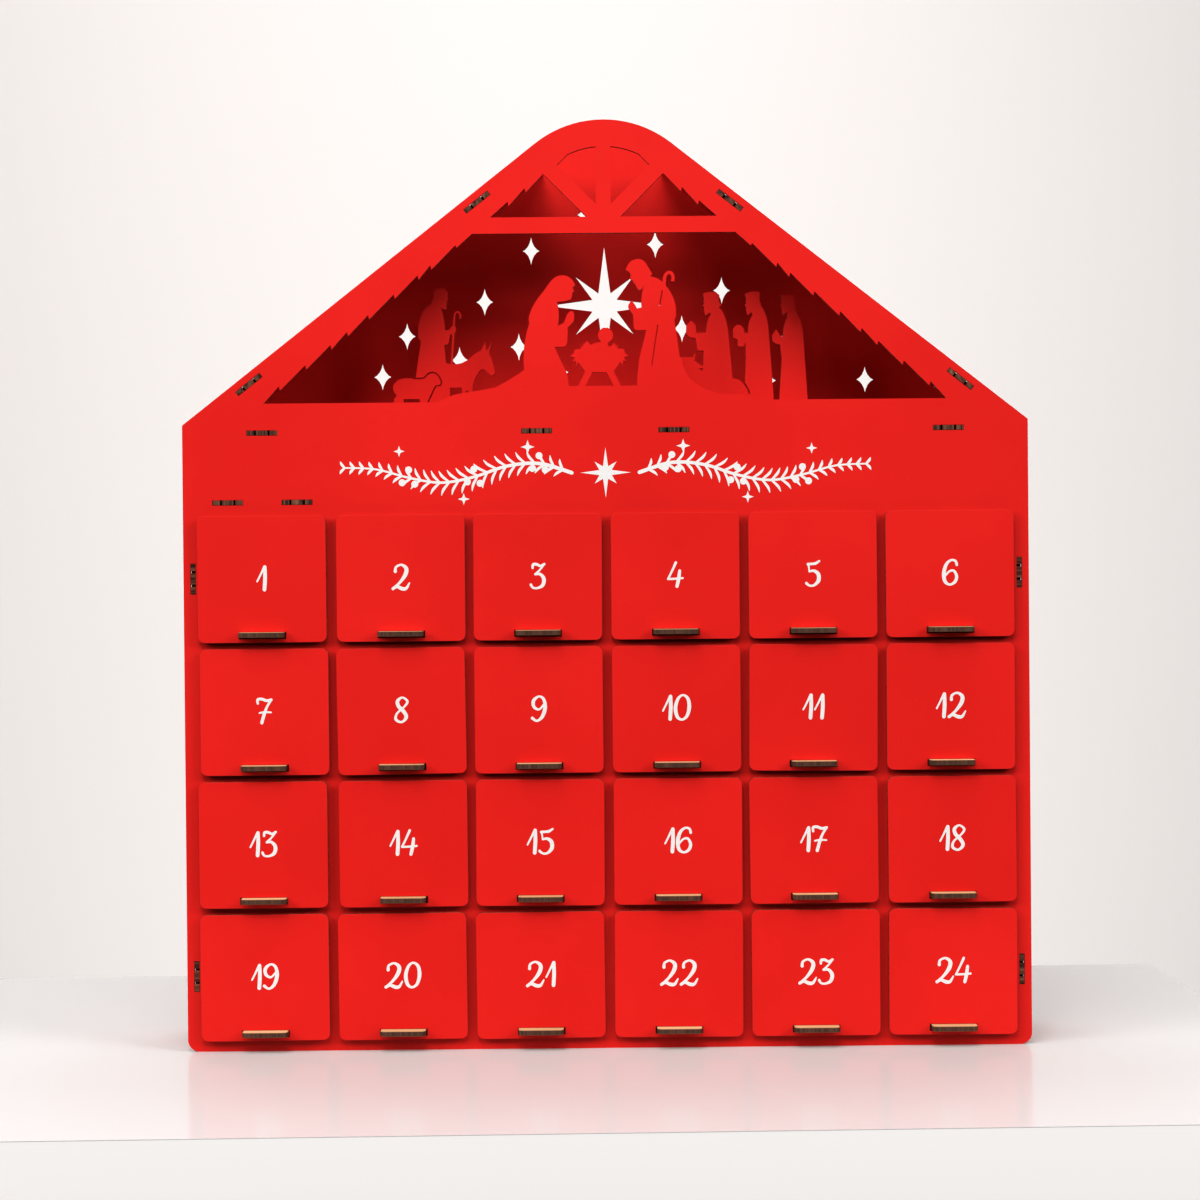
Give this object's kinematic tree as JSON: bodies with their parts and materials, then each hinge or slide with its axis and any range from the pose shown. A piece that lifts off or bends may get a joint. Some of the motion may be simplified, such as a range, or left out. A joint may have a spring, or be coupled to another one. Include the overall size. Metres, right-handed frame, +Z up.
{
  "type": "advent calendar",
  "caption": "House-shaped advent calendar of thin boards: small numbered drawers slide out below a window with a layered nativity scene under the roof.",
  "frame": {"origin": "on the ground, midway between left and right, and between the pulls' tips and the back", "axes": "+Z up, +Y towards the back, +X to the right when seen from the front"},
  "size_m": [0.5, 0.0944, 0.5492],
  "materials": {
    "red_board": "matt red paint on 3 mm fibreboard, with burnt brown cut edges",
    "red_board_inside": "matt red paint on both faces, in the shade",
    "bare_board": "bare fibreboard, tan faces and burnt brown cut edges"
  },
  "bodies": {
    "house": {"front_panel": "red_board", "back_panel": "red_board_inside", "left_side": "red_board", "right_side": "red_board", "left_roof": "red_board", "right_roof": "red_board", "base_board": "red_board", "scene_floor": "red_board_inside", "battery_shelf": "red_board_inside", "shepherd_cutout": "red_board_inside", "kings_cutout": "red_board_inside", "drawer_rack": "red_board_inside"},
    "drawer_01": {"drawer_01_front": "red_board", "drawer_01_tray": "bare_board"},
    "drawer_02": {"drawer_02_front": "red_board", "drawer_02_tray": "bare_board"},
    "drawer_03": {"drawer_03_front": "red_board", "drawer_03_tray": "bare_board"},
    "drawer_04": {"drawer_04_front": "red_board", "drawer_04_tray": "bare_board"},
    "drawer_05": {"drawer_05_front": "red_board", "drawer_05_tray": "bare_board"},
    "drawer_06": {"drawer_06_front": "red_board", "drawer_06_tray": "bare_board"},
    "drawer_07": {"drawer_07_front": "red_board", "drawer_07_tray": "bare_board"},
    "drawer_08": {"drawer_08_front": "red_board", "drawer_08_tray": "bare_board"},
    "drawer_09": {"drawer_09_front": "red_board", "drawer_09_tray": "bare_board"},
    "drawer_10": {"drawer_10_front": "red_board", "drawer_10_tray": "bare_board"},
    "drawer_11": {"drawer_11_front": "red_board", "drawer_11_tray": "bare_board"},
    "drawer_12": {"drawer_12_front": "red_board", "drawer_12_tray": "bare_board"},
    "drawer_13": {"drawer_13_front": "red_board", "drawer_13_tray": "bare_board"},
    "drawer_14": {"drawer_14_front": "red_board", "drawer_14_tray": "bare_board"},
    "drawer_15": {"drawer_15_front": "red_board", "drawer_15_tray": "bare_board"},
    "drawer_16": {"drawer_16_front": "red_board", "drawer_16_tray": "bare_board"},
    "drawer_17": {"drawer_17_front": "red_board", "drawer_17_tray": "bare_board"},
    "drawer_18": {"drawer_18_front": "red_board", "drawer_18_tray": "bare_board"},
    "drawer_19": {"drawer_19_front": "red_board", "drawer_19_tray": "bare_board"},
    "drawer_20": {"drawer_20_front": "red_board", "drawer_20_tray": "bare_board"},
    "drawer_21": {"drawer_21_front": "red_board", "drawer_21_tray": "bare_board"},
    "drawer_22": {"drawer_22_front": "red_board", "drawer_22_tray": "bare_board"},
    "drawer_23": {"drawer_23_front": "red_board", "drawer_23_tray": "bare_board"},
    "drawer_24": {"drawer_24_front": "red_board", "drawer_24_tray": "bare_board"}
  },
  "joints": [
    {"name": "drawer_01_slide", "type": "slide", "parent": "house", "child": "drawer_01", "axis": [0, -1, 0], "range_m": [0, 0.065]},
    {"name": "drawer_02_slide", "type": "slide", "parent": "house", "child": "drawer_02", "axis": [0, -1, 0], "range_m": [0, 0.065]},
    {"name": "drawer_03_slide", "type": "slide", "parent": "house", "child": "drawer_03", "axis": [0, -1, 0], "range_m": [0, 0.065]},
    {"name": "drawer_04_slide", "type": "slide", "parent": "house", "child": "drawer_04", "axis": [0, -1, 0], "range_m": [0, 0.065]},
    {"name": "drawer_05_slide", "type": "slide", "parent": "house", "child": "drawer_05", "axis": [0, -1, 0], "range_m": [0, 0.065]},
    {"name": "drawer_06_slide", "type": "slide", "parent": "house", "child": "drawer_06", "axis": [0, -1, 0], "range_m": [0, 0.065]},
    {"name": "drawer_07_slide", "type": "slide", "parent": "house", "child": "drawer_07", "axis": [0, -1, 0], "range_m": [0, 0.065]},
    {"name": "drawer_08_slide", "type": "slide", "parent": "house", "child": "drawer_08", "axis": [0, -1, 0], "range_m": [0, 0.065]},
    {"name": "drawer_09_slide", "type": "slide", "parent": "house", "child": "drawer_09", "axis": [0, -1, 0], "range_m": [0, 0.065]},
    {"name": "drawer_10_slide", "type": "slide", "parent": "house", "child": "drawer_10", "axis": [0, -1, 0], "range_m": [0, 0.065]},
    {"name": "drawer_11_slide", "type": "slide", "parent": "house", "child": "drawer_11", "axis": [0, -1, 0], "range_m": [0, 0.065]},
    {"name": "drawer_12_slide", "type": "slide", "parent": "house", "child": "drawer_12", "axis": [0, -1, 0], "range_m": [0, 0.065]},
    {"name": "drawer_13_slide", "type": "slide", "parent": "house", "child": "drawer_13", "axis": [0, -1, 0], "range_m": [0, 0.065]},
    {"name": "drawer_14_slide", "type": "slide", "parent": "house", "child": "drawer_14", "axis": [0, -1, 0], "range_m": [0, 0.065]},
    {"name": "drawer_15_slide", "type": "slide", "parent": "house", "child": "drawer_15", "axis": [0, -1, 0], "range_m": [0, 0.065]},
    {"name": "drawer_16_slide", "type": "slide", "parent": "house", "child": "drawer_16", "axis": [0, -1, 0], "range_m": [0, 0.065]},
    {"name": "drawer_17_slide", "type": "slide", "parent": "house", "child": "drawer_17", "axis": [0, -1, 0], "range_m": [0, 0.065]},
    {"name": "drawer_18_slide", "type": "slide", "parent": "house", "child": "drawer_18", "axis": [0, -1, 0], "range_m": [0, 0.065]},
    {"name": "drawer_19_slide", "type": "slide", "parent": "house", "child": "drawer_19", "axis": [0, -1, 0], "range_m": [0, 0.065]},
    {"name": "drawer_20_slide", "type": "slide", "parent": "house", "child": "drawer_20", "axis": [0, -1, 0], "range_m": [0, 0.065]},
    {"name": "drawer_21_slide", "type": "slide", "parent": "house", "child": "drawer_21", "axis": [0, -1, 0], "range_m": [0, 0.065]},
    {"name": "drawer_22_slide", "type": "slide", "parent": "house", "child": "drawer_22", "axis": [0, -1, 0], "range_m": [0, 0.065]},
    {"name": "drawer_23_slide", "type": "slide", "parent": "house", "child": "drawer_23", "axis": [0, -1, 0], "range_m": [0, 0.065]},
    {"name": "drawer_24_slide", "type": "slide", "parent": "house", "child": "drawer_24", "axis": [0, -1, 0], "range_m": [0, 0.065]}
  ]
}
